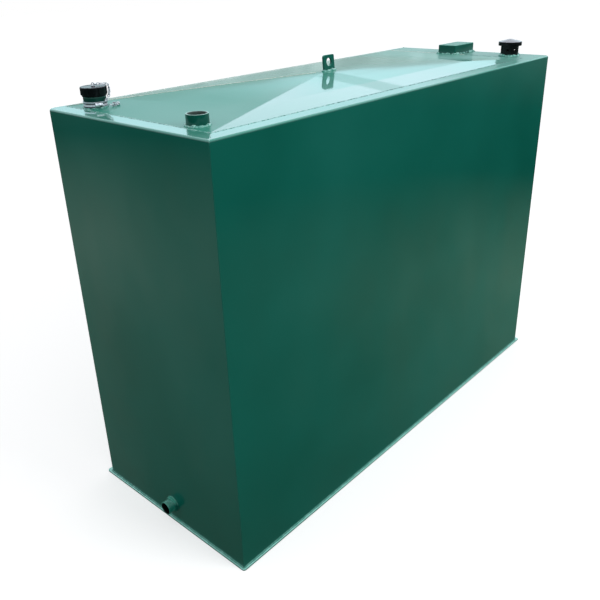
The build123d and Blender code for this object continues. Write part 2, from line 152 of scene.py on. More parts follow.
def grid_faces(rows, columns, wrap_rows, wrap_columns, start=0):
    """Quads that join each grid point to the next along both ways, wrapping where asked."""
    r = np.arange(rows if wrap_rows else rows - 1)
    c = np.arange(columns if wrap_columns else columns - 1)
    r, c = (places.ravel() for places in np.meshgrid(r, c, indexing="ij"))
    r_next = (r + 1) % rows
    c_next = (c + 1) % columns
    corners = ((r, c), (r, c_next), (r_next, c_next), (r_next, c))
    quads = np.stack([row * columns + column for row, column in corners], axis=1)
    return (quads + start).tolist()


def rounded_outline(corners, radii):
    """A closed outline whose corners are cut back by their radius and joined by a parabola arc."""
    p = np.array(corners, float)
    cut = np.array(radii, float)[:, None]
    before = np.roll(p, 1, axis=0) - p
    after = np.roll(p, -1, axis=0) - p
    before_length = np.linalg.norm(before, axis=1, keepdims=True)
    after_length = np.linalg.norm(after, axis=1, keepdims=True)
    start = p + before / before_length * np.minimum(cut, before_length * 0.48)
    end = p + after / after_length * np.minimum(cut, after_length * 0.48)
    t = np.linspace(0, 1, ARC_STEPS)[None, :, None]
    arc = (1 - t) ** 2 * start[:, None] + 2 * t * (1 - t) * p[:, None] + t**2 * end[:, None]
    return arc.reshape(-1, 2)


def turned_surface(
    name, outline, centre, around, material, body, replaces=(), shape=None, sharp=35, lying=False
):
    """Radius and height of a closed outline, carried round an upright axis, or one along -X when lying;
    shape may change the radius and height with the angle."""
    angle = np.linspace(0, 2 * np.pi, around, endpoint=False)[:, None]
    r = outline[:, 0][None, :] + 0 * angle
    z = outline[:, 1][None, :] + 0 * angle
    angle = angle + 0 * r
    if shape is not None:
        r, z = shape(r, z, angle)
    across, upward = r * np.cos(angle), r * np.sin(angle)
    if lying:
        points = np.stack([-z, centre[0] + across, centre[1] + upward], axis=-1)
    else:
        points = np.stack([centre[0] + across, centre[1] + upward, z], axis=-1)
    faces = grid_faces(around, len(outline), True, True)
    return mesh_piece(name, points, faces, material, body, replaces, sharp)


def finely(outline, step):
    """The closed outline with points added along its long sides, so that no side is longer than the step."""
    ends = np.roll(outline, -1, axis=0)
    counts = np.maximum(1, np.ceil(np.linalg.norm(ends - outline, axis=1) / step).astype(int))
    runs = [
        start + (end - start) * np.linspace(0, 1, count, endpoint=False)[:, None]
        for start, end, count in zip(outline, ends, counts)
    ]
    return np.concatenate(runs)


def pipe_thread(low, high, radius, depth, pitch):
    """Shape of a rounded thread: the surface near the radius between two heights sinks by a sine whose
    phase climbs by one pitch a turn, fading out at both ends."""

    def shape(r, z, angle):
        fade = np.clip((z - low) / pitch, 0, 1) * np.clip((high - z) / pitch, 0, 1)
        ridge = 0.5 - 0.5 * np.cos(2 * np.pi * (z / pitch - angle / (2 * np.pi)))
        on_wall = np.abs(r - radius) < 1e-5
        return r + np.where(on_wall, depth * fade * ridge, 0), z

    return shape


def panel_height(x, y):
    """Height of the top at a place: a share of the way in from the nearest edge times the peak's rise, with
    a slight bow."""
    along = np.minimum((x - PANEL_LEFT) / (PEAK[0] - PANEL_LEFT), (PANEL_RIGHT - x) / (PANEL_RIGHT - PEAK[0]))
    across = np.minimum((y - PANEL_FRONT) / (PEAK[1] - PANEL_FRONT), (PANEL_REAR - y) / (PANEL_REAR - PEAK[1]))
    share = np.clip(np.minimum(along, across), 0, 1)
    return HEIGHT + PEAK_RISE * share + 4 * PANEL_BOW * share * (1 - share)


def on_top(flat_points, lift):
    """Points of a plan path, raised to the top's faces and by the lift."""
    p = np.array(flat_points, float)
    return np.column_stack([p, panel_height(p[:, 0], p[:, 1]) + lift])


def circle_path(centre, radius):
    """Plan points of a closed circle."""
    angle = np.linspace(0, 2 * np.pi, RING_STEPS + 1)
    return np.column_stack([centre[0] + radius * np.cos(angle), centre[1] + radius * np.sin(angle)])


def box_path(centre, length, width, corner=0.003):
    """Plan points of a closed rectangle with its corners cut, starting on the +X side."""
    x, y = length / 2, width / 2
    inner_x, inner_y = x - corner, y - corner
    plan = [(x, -inner_y), (x, inner_y), (inner_x, y), (-inner_x, y)]
    plan += [(-x, inner_y), (-x, -inner_y), (-inner_x, -y), (inner_x, -y), (x, -inner_y)]
    plan = np.array(plan)
    along = np.linspace(0, 1, SIDE_STEPS, endpoint=False)[None, :, None]
    sides = plan[:-1, None] + along * np.diff(plan, axis=0)[:, None]
    return np.concatenate([sides.reshape(-1, 2), plan[-1:]]) + np.array([centre])


def waver(s, seed, scales, sizes):
    """A smooth uneven value along s: sines of the given wavelengths and sizes, with seeded phases."""
    phases = np.random.default_rng(seed).uniform(0, 2 * np.pi, len(scales))
    value = 0 * s
    for scale, size, phase in zip(scales, sizes, phases):
        value = value + size * np.sin(2 * np.pi * s / scale + phase)
    return value


def path_line(points, step):
    """Points at even steps along straight runs between the given points, and the distance to each."""
    p = np.array(points, float)
    lengths = np.linalg.norm(np.diff(p, axis=0), axis=1)
    marks = np.concatenate([[0], np.cumsum(lengths)])
    s = np.linspace(0, marks[-1], max(3, int(marks[-1] / step)))
    return np.stack([np.interp(s, marks, p[:, k]) for k in range(3)], axis=1), s


def bead(
    name, points, radius, pitch, seed, closed=True, flat=1.0, lump=0.20, ragged=1.0, broken=0.0, finish=None
):
    """Weld bead: a round section carried along a path, its height scaled by flat; its radius swells once per
    pitch in arcs that trail back across the bead, wavers unevenly, and shrinks where it is broken."""
    line, s = path_line(points, pitch / 5)
    if closed:
        line, s = line[:-1], s[:-1]
        along = np.roll(line, -1, axis=0) - np.roll(line, 1, axis=0)
    else:
        along = np.gradient(line, axis=0)
    along /= np.linalg.norm(along, axis=1, keepdims=True)
    up = np.array([0.0, 0.0, 1.0]) + 0 * along
    up[np.abs(along[:, 2]) > 0.8] = (1.0, 0.0, 0.0)
    side = np.cross(along, up)
    side /= np.linalg.norm(side, axis=1, keepdims=True)
    up = np.cross(side, along)
    turn = np.linspace(0, 2 * np.pi, BEAD_STEPS, endpoint=False)[None, :]
    trail = s[:, None] - pitch * 0.5 * np.sin(turn) ** 2
    swell = 1 + lump * np.abs(np.sin(np.pi * trail / pitch)) ** 0.6 - lump / 2
    uneven = waver(s, seed, (pitch * 3.3, pitch * 7.1, pitch * 17), (0.12, 0.12, 0.10))[:, None]
    r = radius * (swell + ragged * uneven)
    if broken > 0:
        dips = waver(s, seed + 1, (pitch * 2.3, pitch * 5.9, pitch * 13.7), (0.4, 0.5, 0.5))
        r = r * np.clip(1.25 - broken * np.clip(dips, 0, None), 0.35, 1)[:, None]
    if not closed:
        r = r * np.sqrt(np.clip(np.minimum(s, s[-1] - s) / radius, 0.01, 1))[:, None]
    points = line[:, None] + r[..., None] * (
        np.cos(turn)[..., None] * side[:, None] + flat * np.sin(turn)[..., None] * up[:, None]
    )
    faces = grid_faces(len(s), BEAD_STEPS, closed, True)
    if not closed:
        count = len(s) * BEAD_STEPS
        faces += [list(range(BEAD_STEPS - 1, -1, -1)), list(range(count - BEAD_STEPS, count))]
    return mesh_piece(name, points, faces, finish or weld_paint, "tank", sharp=80)


WIRE = 0.00104
LINK_HALF_WIDTH = 0.0039
LINK_HALF_LENGTH = 0.0061


def link_places(node_name):
    """Middle, longest axis and middle axis of each separate solid of the node, as three arrays."""
    work = bmesh.new()
    work.from_mesh(nodes[node_name].data)
    bmesh.ops.remove_doubles(work, verts=work.verts, dist=1e-6)
    work.verts.ensure_lookup_table()
    unseen = set(range(len(work.verts)))
    places = []
    while unseen:
        island = [unseen.pop()]
        for index in island:
            for edge in work.verts[index].link_edges:
                other = edge.other_vert(work.verts[index]).index
                if other in unseen:
                    unseen.remove(other)
                    island.append(other)
        spots = np.array([work.verts[index].co for index in island])
        box_middle = (spots.max(axis=0) + spots.min(axis=0)) / 2
        axes = np.linalg.svd(spots - spots.mean(axis=0))[2]
        places.append((spots.mean(axis=0) * 0.5 + box_middle * 0.5, axes[0], axes[1]))
    work.free()
    return (np.array(column)[:, None, None] for column in zip(*places))


def chain_links(name, node_name, body):
    """Round-wire links fitted over the node's own: each follows a stadium path, two straight sides joined by
    half circles, about its link's middle and along its link's longest and middle axes."""
    middles, longs, wides = link_places(node_name)
    thins = np.cross(longs, wides)
    run = np.linspace(0, 2 * np.pi, LINK_STEPS, endpoint=False)[None, :, None]
    turn = np.linspace(0, 2 * np.pi, WIRE_STEPS, endpoint=False)[None, None, :]
    outward = LINK_HALF_WIDTH - WIRE + WIRE * np.cos(turn)
    straight = LINK_HALF_LENGTH - LINK_HALF_WIDTH
    u = outward * np.cos(run) + straight * np.clip(np.cos(run) * 6, -1, 1)
    v = outward * np.sin(run)
    w = WIRE * np.sin(turn) + 0 * run
    points = lowered(middles) + u[..., None] * longs + v[..., None] * wides + w[..., None] * thins
    faces = []
    for index in range(len(middles)):
        faces += grid_faces(LINK_STEPS, WIRE_STEPS, True, True, index * LINK_STEPS * WIRE_STEPS)
    return mesh_piece(name, points, faces, zinc, body, (node_name,), sharp=80)


# Materials


def material(name):
    """A new material with its shader, node list and links."""
    made = bpy.data.materials.new(name)
    made.use_nodes = True
    tree = made.node_tree
    return made, tree, tree.nodes["Principled BSDF"]


def place_of(tree, stretch=(1, 1, 1)):
    """Object coordinates, stretched by a Mapping node."""
    texture = tree.nodes.new("ShaderNodeTexCoord")
    mapping = tree.nodes.new("ShaderNodeMapping")
    mapping.inputs["Scale"].default_value = stretch
    tree.links.new(texture.outputs["Object"], mapping.inputs["Vector"])
    return mapping.outputs["Vector"]


def noise(tree, vector, scale, detail=3.0, rough=0.5):
    """Noise texture value."""
    n = tree.nodes.new("ShaderNodeTexNoise")
    n.inputs["Scale"].default_value = scale
    n.inputs["Detail"].default_value = detail
    n.inputs["Roughness"].default_value = rough
    tree.links.new(vector, n.inputs["Vector"])
    return n.outputs["Fac"]


def ramp(tree, value, stops):
    """Colour ramp with the given (place, colour) stops."""
    r = tree.nodes.new("ShaderNodeValToRGB")
    elements = r.color_ramp.elements
    elements[0].position, elements[0].color = stops[0][0], (*stops[0][1], 1)
    elements[1].position, elements[1].color = stops[-1][0], (*stops[-1][1], 1)
    for place, colour in stops[1:-1]:
        elements.new(place).color = (*colour, 1)
    tree.links.new(value, r.inputs["Fac"])
    return r.outputs["Color"]


def to_range(tree, value, low, high, out_low, out_high):
    """Map Range from one span to another, clamped."""
    m = tree.nodes.new("ShaderNodeMapRange")
    for key, number in (("From Min", low), ("From Max", high), ("To Min", out_low), ("To Max", out_high)):
        m.inputs[key].default_value = number
    tree.links.new(value, m.inputs["Value"])
    return m.outputs["Result"]


def feed(tree, socket, value):
    """Link the value to the socket where it is a socket too, or else set it: a number, or a colour of three."""
    if isinstance(value, bpy.types.NodeSocket):
        tree.links.new(value, socket)
    elif isinstance(value, tuple):
        socket.default_value = (*value, 1)
    else:
        socket.default_value = value


def blend_colour(tree, factor, first, second, mode="MIX"):
    """Mix of two colours, each a socket or a plain colour."""
    m = tree.nodes.new("ShaderNodeMix")
    m.data_type = "RGBA"
    m.blend_type = mode
    for index, value in ((0, factor), (6, first), (7, second)):
        feed(tree, m.inputs[index], value)
    return m.outputs[2]


def bump(tree, shader, layers, sockets=("Normal",)):
    """Bump nodes in a chain, each from a height value and its depth in metres, into the shader's sockets."""
    normal = None
    for height, depth in layers:
        b = tree.nodes.new("ShaderNodeBump")
        b.inputs["Distance"].default_value = depth
        tree.links.new(height, b.inputs["Height"])
        if normal is not None:
            tree.links.new(normal, b.inputs["Normal"])
        normal = b.outputs["Normal"]
    for socket in sockets:
        tree.links.new(normal, shader.inputs[socket])


def math_node(tree, operation, *values):
    """Math node on sockets or numbers."""
    m = tree.nodes.new("ShaderNodeMath")
    m.operation = operation
    for socket, value in zip(m.inputs, values):
        feed(tree, socket, value)
    return m.outputs[0]


def product(tree, *values):
    """Sockets or numbers multiplied together."""
    total = values[0]
    for value in values[1:]:
        total = math_node(tree, "MULTIPLY", total, value)
    return total


def coordinates(tree, vector):
    """The X, Y and Z of a vector, each a socket."""
    split = tree.nodes.new("ShaderNodeSeparateXYZ")
    tree.links.new(vector, split.inputs["Vector"])
    return [split.outputs[letter] for letter in "XYZ"]


def left_face_share(tree, here):
    """One on the left face of the cross-broken panel and nought on the others: how far the share in from
    the left edge falls short of the shares in from the front and back edges. It fades towards the peak."""
    x, y, _ = coordinates(tree, here)
    along = to_range(tree, x, PANEL_LEFT, PEAK[0], 0.0, 1.0)
    front = to_range(tree, y, PANEL_FRONT, PEAK[1], 0.0, 1.0)
    rear = to_range(tree, y, PEAK[1], PANEL_REAR, 1.0, 0.0)
    short = math_node(tree, "SUBTRACT", math_node(tree, "MINIMUM", front, rear), along)
    fading = to_range(tree, x, -0.52, -0.22, 1.0, 0.44)
    return product(tree, to_range(tree, short, 0.0, 0.02, 0.0, 1.0), fading)


def facing_up(tree):
    """One on faces that look up and nought on upright ones."""
    normal = tree.nodes.new("ShaderNodeNewGeometry").outputs["Normal"]
    return to_range(tree, coordinates(tree, normal)[2], 0.35, 0.75, 0.0, 1.0)


def at_top(tree, z):
    """One at the height of the top and nought down the walls."""
    return to_range(tree, z, HEIGHT - 0.009, HEIGHT - 0.005, 0.0, 1.0)


def front_flange_share(tree, here):
    """One on the right-hand half of the flange along the top of the front wall, nought elsewhere."""
    x, y, z = coordinates(tree, here)
    along = to_range(tree, x, 0.02, 0.42, 0.0, 1.0)
    near = to_range(tree, y, -0.27, -0.26, 1.0, 0.0)
    return product(tree, along, near, at_top(tree, z))


def buckle_share(tree, here):
    """One along the shallow buckle that runs from the lug straight to the front edge, soft at its sides."""
    x, y, _ = coordinates(tree, here)
    left = to_range(tree, x, -0.158, -0.140, 0.0, 1.0)
    right = to_range(tree, x, -0.056, -0.040, 1.0, 0.0)
    front = to_range(tree, y, -0.030, -0.010, 1.0, 0.0)
    return product(tree, left, right, front)


def right_end_share(tree, here):
    """One on the top at its right end and nought elsewhere; it reaches further left at the back."""
    x, y, z = coordinates(tree, here)
    further_back = to_range(tree, y, -0.20, -0.06, 0.0, 0.14)
    along = to_range(tree, math_node(tree, "ADD", x, further_back), 0.51, 0.69, 0.0, 1.0)
    return product(tree, along, at_top(tree, z))


def in_bore(tree, here, axis, centre, radius):
    """One inside a bore of the given radius about a line along the axis, nought outside it."""
    across = [place for letter, place in zip("XYZ", coordinates(tree, here)) if letter != axis]
    offsets = [math_node(tree, "SUBTRACT", place, middle) for place, middle in zip(across, centre)]
    squares = [product(tree, off, off) for off in offsets]
    away = math_node(tree, "SQRT", math_node(tree, "ADD", *squares))
    return to_range(tree, away, radius - 0.0003, radius + 0.0003, 1.0, 0.0)


def lost_gloss(tree, here, part):
    """How much of the gloss coat is gone by place: at the right end; on the panel also over its left face,
    where spray has dried on it, and its buckle; on the walls also over the right half of the front flange
    and in slow patches down the upright faces."""
    right_end_dulling = product(tree, right_end_share(tree, here), 0.60)
    if part == "panel":
        first = product(tree, left_face_share(tree, here), 0.80)
        second = product(tree, buckle_share(tree, here), 0.36)
    else:
        first = product(tree, front_flange_share(tree, here), 0.70)
        slow = noise(tree, place_of(tree, (1.0, 1.0, 0.6)), 3.2, 3, 0.55)
        upright = math_node(tree, "SUBTRACT", 1.0, facing_up(tree))
        second = product(tree, to_range(tree, slow, 0.38, 0.62, 0.0, 0.38), upright)
    return math_node(tree, "MAXIMUM", right_end_dulling, math_node(tree, "MAXIMUM", first, second))


GREEN_TONES = ((0.32, (0.0008, 0.080, 0.056)), (0.50, (0.0012, 0.092, 0.066)), (0.68, (0.0030, 0.104, 0.077)))
# Painted top light: the paler colour that faces looking up take in the green paint.
GREEN_TOP_LIGHT = (0.06, 0.35, 0.26)
# Painted top light over the right end of the top, paler than elsewhere.
RIGHT_END_TOP_LIGHT = (0.19, 0.50, 0.42)
ORANGE_PEEL = 0.000012


def green_paint(name, wave=0.0006, lift=1.0, gloss=1.0, top_light_colour=GREEN_TOP_LIGHT, part=None, bore=None):
    """Gloss dark green paint on sheet steel: slow changes of tone, times the lift; a little dust; painted top
    light, a paler colour on faces that look up, paler still over the right end of the panel and walls; orange
    peel and the gentle waves of the sheet. The panel and the walls lose gloss by place. A bore is its axis,
    centre, radius and the colour inside it."""
    made, tree, shader = material(name)
    here = place_of(tree)
    slow = noise(tree, here, 1.7, 3)
    tone = ramp(tree, slow, [(place, tuple(v * lift for v in green)) for place, green in GREEN_TONES])
    dust = to_range(tree, noise(tree, here, 60, 4), 0.62, 0.85, 0.0, 0.03)
    colour = blend_colour(tree, dust, tone, (0.05, 0.12, 0.10))
    # Painted top light: faces that look up take the paler colour, paler still over the right end.
    if part:
        top_light_colour = blend_colour(tree, right_end_share(tree, here), top_light_colour, RIGHT_END_TOP_LIGHT)
    colour = blend_colour(tree, facing_up(tree), colour, top_light_colour)
    if bore:
        colour = blend_colour(tree, in_bore(tree, here, *bore[:3]), colour, bore[3])
    tree.links.new(colour, shader.inputs["Base Color"])
    tree.links.new(to_range(tree, slow, 0.3, 0.7, 0.30, 0.42), shader.inputs["Roughness"])
    shader.inputs["Specular IOR Level"].default_value = 0.07
    shader.inputs["Coat Weight"].default_value = gloss
    shader.inputs["Coat Roughness"].default_value = 0.03
    shader.inputs["Coat IOR"].default_value = 1.45
    if part:
        kept_gloss = math_node(tree, "SUBTRACT", gloss, lost_gloss(tree, here, part))
        tree.links.new(kept_gloss, shader.inputs["Coat Weight"])
    layers = [(noise(tree, here, 2.6, 2, 0.35), wave), (noise(tree, here, 420, 2), ORANGE_PEEL)]
    bump(tree, shader, layers, ("Normal", "Coat Normal"))
    return made


def bead_paint(name, dips, sides, crest_highlights, gloss=0.8):
    """Paint on weld bead, mottled by noise from the dips' colour through the sides' to a pale crest colour that is
    painted highlight on the ripples; with spatter.
    """
    made, tree, shader = material(name)
    here = place_of(tree)
    lumps = noise(tree, here, 150, 4, 0.6)
    tree.links.new(
        ramp(tree, lumps, [(0.38, dips), (0.50, sides), (0.62, crest_highlights)]),
        shader.inputs["Base Color"],
    )
    shader.inputs["Coat Weight"].default_value = gloss
    shader.inputs["Coat Roughness"].default_value = 0.08
    shader.inputs["Specular IOR Level"].default_value = 0.2
    tree.links.new(to_range(tree, lumps, 0.3, 0.7, 0.5, 0.3), shader.inputs["Roughness"])
    bump(tree, shader, [(noise(tree, here, 320, 3), 0.0003)])
    return made


def bright_zinc():
    """Bright zinc plating with fine scratches, its colour mottled strongly from dark to pale: painted glints and
    shade over the plating's own faint mottle.
    """
    made, tree, shader = material("bright_zinc_plate")
    here = place_of(tree)
    # The dark-to-pale mottle paints glints and shade on the links.
    mottle = noise(tree, here, 180, 4)
    tree.links.new(
        ramp(tree, mottle, [(0.36, (0.20, 0.21, 0.23)), (0.60, (0.86, 0.87, 0.90))]), shader.inputs["Base Color"]
    )
    shader.inputs["Metallic"].default_value = 0.6
    tree.links.new(to_range(tree, mottle, 0.3, 0.7, 0.14, 0.30), shader.inputs["Roughness"])
    bump(tree, shader, [(noise(tree, here, 900, 2), 0.00003)])
    return made


def painted_reflection_strap():
    """Rolled zinc strap with painted light by height: a bright painted reflection band low down and a paler upper
    rim with a dark painted band between them, over a dark painted shadow line at its foot.
    """
    made, tree, shader = material("rolled_zinc_strap_painted_reflections")
    here = place_of(tree)
    height = coordinates(tree, here)[2]
    level = math_node(tree, "ADD", height, product(tree, noise(tree, here, 40, 2), 0.0012))
    across = to_range(tree, level, 1.2238, 1.2376, 0.0, 1.0)
    # Painted shadow line and reflection bands, from the foot up.
    bands = [
        (0.0, (0.010, 0.014, 0.020)), (0.10, (0.05, 0.06, 0.08)), (0.18, (0.72, 0.74, 0.82)),
        (0.44, (0.80, 0.80, 0.88)), (0.52, (0.03, 0.025, 0.035)), (0.64, (0.05, 0.045, 0.06)),
        (0.72, (0.40, 0.43, 0.48)), (1.0, (0.52, 0.56, 0.60)),
    ]
    tree.links.new(ramp(tree, across, bands), shader.inputs["Base Color"])
    shader.inputs["Metallic"].default_value = 0.35
    tree.links.new(to_range(tree, noise(tree, here, 180, 3), 0.3, 0.7, 0.14, 0.3), shader.inputs["Roughness"])
    bump(tree, shader, [(noise(tree, here, 900, 2), 0.00003)])
    return made


def black_plastic(name, top_light_grey):
    """Black moulded plastic with a fine grain, and painted top light: a grey on faces that look up."""
    made, tree, shader = material(name)
    here = place_of(tree)
    cloud = noise(tree, here, 45, 4)
    black = ramp(tree, cloud, [(0.35, (0.0012, 0.0018, 0.0024)), (0.8, (0.004, 0.005, 0.006))])
    top_light_tone = ramp(tree, cloud, [(0.3, tuple(0.8 * v for v in top_light_grey)), (0.7, top_light_grey)])
    tree.links.new(blend_colour(tree, facing_up(tree), black, top_light_tone), shader.inputs["Base Color"])
    shader.inputs["Specular IOR Level"].default_value = 0.22
    tree.links.new(to_range(tree, cloud, 0.3, 0.7, 0.12, 0.24), shader.inputs["Roughness"])
    shader.inputs["IOR"].default_value = 1.45
    bump(tree, shader, [(noise(tree, here, 700, 2), 0.00006)])
    return made


def bare_steel():
    """Mill-finish sheet with a grey-blue scale and oil stains."""
    made, tree, shader = material("mill_steel")
    here = place_of(tree)
    cloud = noise(tree, here, 6, 5)
    tree.links.new(
        ramp(tree, cloud, [(0.3, (0.20, 0.20, 0.21)), (0.7, (0.40, 0.39, 0.37))]), shader.inputs["Base Color"]
    )
    shader.inputs["Metallic"].default_value = 0.9
    tree.links.new(to_range(tree, cloud, 0.3, 0.7, 0.35, 0.55), shader.inputs["Roughness"])
    bump(tree, shader, [(noise(tree, here, 300, 2), 0.00005)])
    return made


def seal_rubber():
    """Black seal rubber, matt and lightly dusted."""
    made, tree, shader = material("seal_rubber")
    cloud = noise(tree, place_of(tree), 90, 3)
    tree.links.new(
        ramp(tree, cloud, [(0.3, (0.012, 0.012, 0.012)), (0.7, (0.03, 0.03, 0.03))]), shader.inputs["Base Color"]
    )
    tree.links.new(to_range(tree, cloud, 0.3, 0.7, 0.6, 0.8), shader.inputs["Roughness"])
    return made


def brass_gauze():
    """Woven brass gauze: two crossed sets of fine ridges."""
    made, tree, shader = material("brass_gauze")
    ridges = []
    for turn in (0.0, 90.0):
        wave = tree.nodes.new("ShaderNodeTexWave")
        wave.inputs["Scale"].default_value = 90
        mapping = tree.nodes.new("ShaderNodeMapping")
        mapping.inputs["Rotation"].default_value = (0, 0, math.radians(turn))
        tree.links.new(place_of(tree), mapping.inputs["Vector"])
        tree.links.new(mapping.outputs["Vector"], wave.inputs["Vector"])
        ridges.append(wave.outputs["Fac"])
    tree.links.new(
        ramp(tree, ridges[0], [(0.2, (0.10, 0.07, 0.02)), (0.8, (0.60, 0.42, 0.15))]), shader.inputs["Base Color"]
    )
    shader.inputs["Metallic"].default_value = 1.0
    tree.links.new(to_range(tree, ridges[1], 0.2, 0.8, 0.5, 0.3), shader.inputs["Roughness"])
    bump(tree, shader, [(ridges[0], 0.0001), (ridges[1], 0.0001)])
    return made


THREADED_WAVE = 0.00002
# Painted shade inside the outlet's bore.
OUTLET_BORE_SHADE = (0.0008, 0.004, 0.003)
SOCKET_GREY = (0.06, 0.09, 0.078)
paint = green_paint("green_sheet_paint", part="walls")
panel_paint = green_paint("green_panel_paint", wave=0.0002, gloss=0.94, part="panel")
# Base paint: its upward faces, the lip's top, take a pale mint colour, a painted reflection of the sky.
base_paint = green_paint("green_base_paint", top_light_colour=(0.34, 0.78, 0.68))
riser_paint = green_paint("green_riser_paint", THREADED_WAVE, lift=0.42, gloss=0.6)
# Outlet paint: a lit copy of the green paint, twice as bright, as painted light on the nose.
nose_paint = green_paint("green_outlet_paint", THREADED_WAVE, lift=2.0, bore=("X", OUTLET, 0.0186, OUTLET_BORE_SHADE))
# Socket paint: its upward rim takes a pale mint colour, painted top light.
socket_paint = green_paint(
    "green_socket_paint", THREADED_WAVE, lift=0.95, gloss=0.5, top_light_colour=(0.34, 0.62, 0.54),
    bore=("Z", SOCKET, 0.0240, SOCKET_GREY),
)
lug_paint = green_paint("green_lug_paint", THREADED_WAVE, lift=1.12, gloss=0.4)
pipe_paint = green_paint("green_fitting_paint", THREADED_WAVE, gloss=0.35)
# Weld beads: the pale crest colour paints highlights on the beads.
weld_paint = bead_paint("green_bead_paint", (0.03, 0.20, 0.155), (0.11, 0.40, 0.33), (0.38, 0.70, 0.62))
# Pale paint for the rear weld and the crease: painted highlight.
ridge_highlight_paint = bead_paint("ridge_painted_highlight", (0.42, 0.58, 0.50), (0.60, 0.70, 0.62), (0.78, 0.84, 0.76))
# Dark paint for the front seam: painted shade and dark reflection along it.
seam_shade_paint = bead_paint("seam_painted_shade", (0.01, 0.07, 0.06), (0.03, 0.14, 0.12), (0.10, 0.34, 0.29), 0.1)
zinc = bright_zinc()
# Black plastic takes a grey on faces that look up: painted top light, pale on the vent's lid.
plastic = black_plastic("moulded_black_plastic", (0.08, 0.08, 0.09))
lid_plastic = black_plastic("black_plastic_painted_top_light", (0.42, 0.44, 0.49))
clip_strap_reflections = painted_reflection_strap()
steel = bare_steel()
rubber = seal_rubber()
gauze = brass_gauze()

finishes = {
    "green_paint": paint,
    "bare_steel": steel,
    "bright_zinc": zinc,
    "black_plastic": plastic,
    "seal_rubber": rubber,
    "gauze_wire": gauze,
}
for part in frame["record"]["subparts"]:
    node = nodes[part["node"]]
    node.data.materials.clear()
    node.data.materials.append(finishes[part["material_slot"]])

# The sheet metal and fittings that keep their solids, with smooth curves and eased edges

smoothed("shell_front_right", "bund_shell_front_right", paint, "tank", 25)
smoothed("shell_left_back", "bund_shell_left_back", paint, "tank", 25)
smoothed("cross_broken_panel", "top_panel", panel_paint, "tank", 2.5)
smoothed("base_with_lip", "base_plate", base_paint, "tank", 25, reshape=narrow_lip)
smoothed("crane_lug", "lifting_lug", lug_paint, "tank", 30, 0.0007, leaning)
smoothed("folded_hood", "hood", pipe_paint, "tank", 40)
smoothed("outlet_boss", "outlet_collar", pipe_paint, "tank", 30)
smoothed("vent_pipe", "vent_riser", pipe_paint, "tank", 30)
smoothed("vent_shell", "vent_body", plastic, "tank", 30)
smoothed("swivel_stud", "cap_swivel", zinc, "swivel", 50, reshape=lowered)
smoothed("worm_clip_band", "clip_band", clip_strap_reflections, "tank", 50)
smoothed("worm_clip_housing", "clip_housing", zinc, "tank", 30)
smoothed("worm_clip_screw", "clip_screw", zinc, "tank", 30)

# Turned and moulded pieces

riser_outline = finely(
    np.array([(0.02655, 1.137), (0.02655, 1.2697), (0.0294, 1.2697), (PIPE_RADIUS, 1.2689), (PIPE_RADIUS, 1.137)]),
    0.00032,
)
riser_outline = riser_outline[(riser_outline[:, 1] > 1.2445) | (riser_outline[:, 1] < 1.1375)]
riser_thread = pipe_thread(1.2465, 1.2690, PIPE_RADIUS, -0.0011, PIPE_THREAD)
turned_surface(
    "riser_pipe", riser_outline, RISER, 96, riser_paint, "tank", ("fill_riser",), riser_thread
)

socket_outline = finely(
    rounded_outline(
        [(0.0273, 1.199), (0.0273, 1.247), (0.0243, 1.247), (0.0224, 1.2451), (0.0224, 1.199)],
        [0.0008, 0.0011, 0.0004, 0.0002, 0.0006],
    ),
    0.0006,
)
socket_thread = pipe_thread(1.200, 1.2452, 0.0224, 0.0010, PIPE_THREAD)
turned_surface(
    "open_socket", socket_outline, SOCKET, 96, socket_paint, "tank", ("spare_socket",), socket_thread
)

nose_outline = finely(
    np.array(
        [(0.018, 0.803), (0.018, 0.8785), (0.0184, 0.879), (0.0198, 0.879), (0.02095, 0.8778), (0.02095, 0.803)]
    ),
    0.0005,
)
nose_thread = pipe_thread(0.8602, 0.8782, 0.02095, -0.0012, PIPE_THREAD)
turned_surface(
    "outlet_nose", nose_outline, OUTLET, 96, nose_paint, "tank", ("outlet_pipe",), nose_thread,
    lying=True,
)

CAP_FOOT = 1.249
CAP_TOP = 1.2735
GRIP_RADIUS = 0.035
NOTCH_COUNT = 8
NOTCH_HALF_WIDTH = 0.0019
FIRST_NOTCH = math.radians(-102.7)


def grip_notches(r, z, angle):
    """Narrow upright notches in the grip: the radius sinks by a steep bell across each notch, and the rim
    between them crowns very slightly."""
    spread = 2 * np.pi / NOTCH_COUNT
    off = (angle - FIRST_NOTCH + spread / 2) % spread - spread / 2
    notch = np.exp(-((off * GRIP_RADIUS / NOTCH_HALF_WIDTH) ** 4))
    on_grip = np.clip((r - 0.0325) / 0.0012, 0, 1)
    crown = 0.0004 * np.cos(off * NOTCH_COUNT / 2)
    return r - on_grip * (0.0022 * notch - crown + 0.0004), z


cap_outline = finely(
    rounded_outline(
        [
            (0.03045, CAP_FOOT), (0.0320, CAP_FOOT), (0.0320, CAP_FOOT + 0.004), (GRIP_RADIUS, CAP_FOOT + 0.0042),
            (GRIP_RADIUS, CAP_TOP), (0.0300, CAP_TOP), (0.0290, CAP_TOP - 0.0007), (0.0080, CAP_TOP - 0.0007),
            (0.0070, CAP_TOP), (0.0028, CAP_TOP), (0.0028, CAP_TOP - 0.004), (0.03045, CAP_TOP - 0.004),
        ],
        [0.0003, 0.0006, 0.0006, 0.0012, 0.0020, 0.0005, 0.0004, 0.0004, 0.0005, 0.0003, 0.0001, 0.0001],
    ),
    0.0022,
)
turned_surface(
    "moulded_cap", cap_outline, RISER, 448, plastic, "cap", ("fill_cap",), grip_notches, 40
)

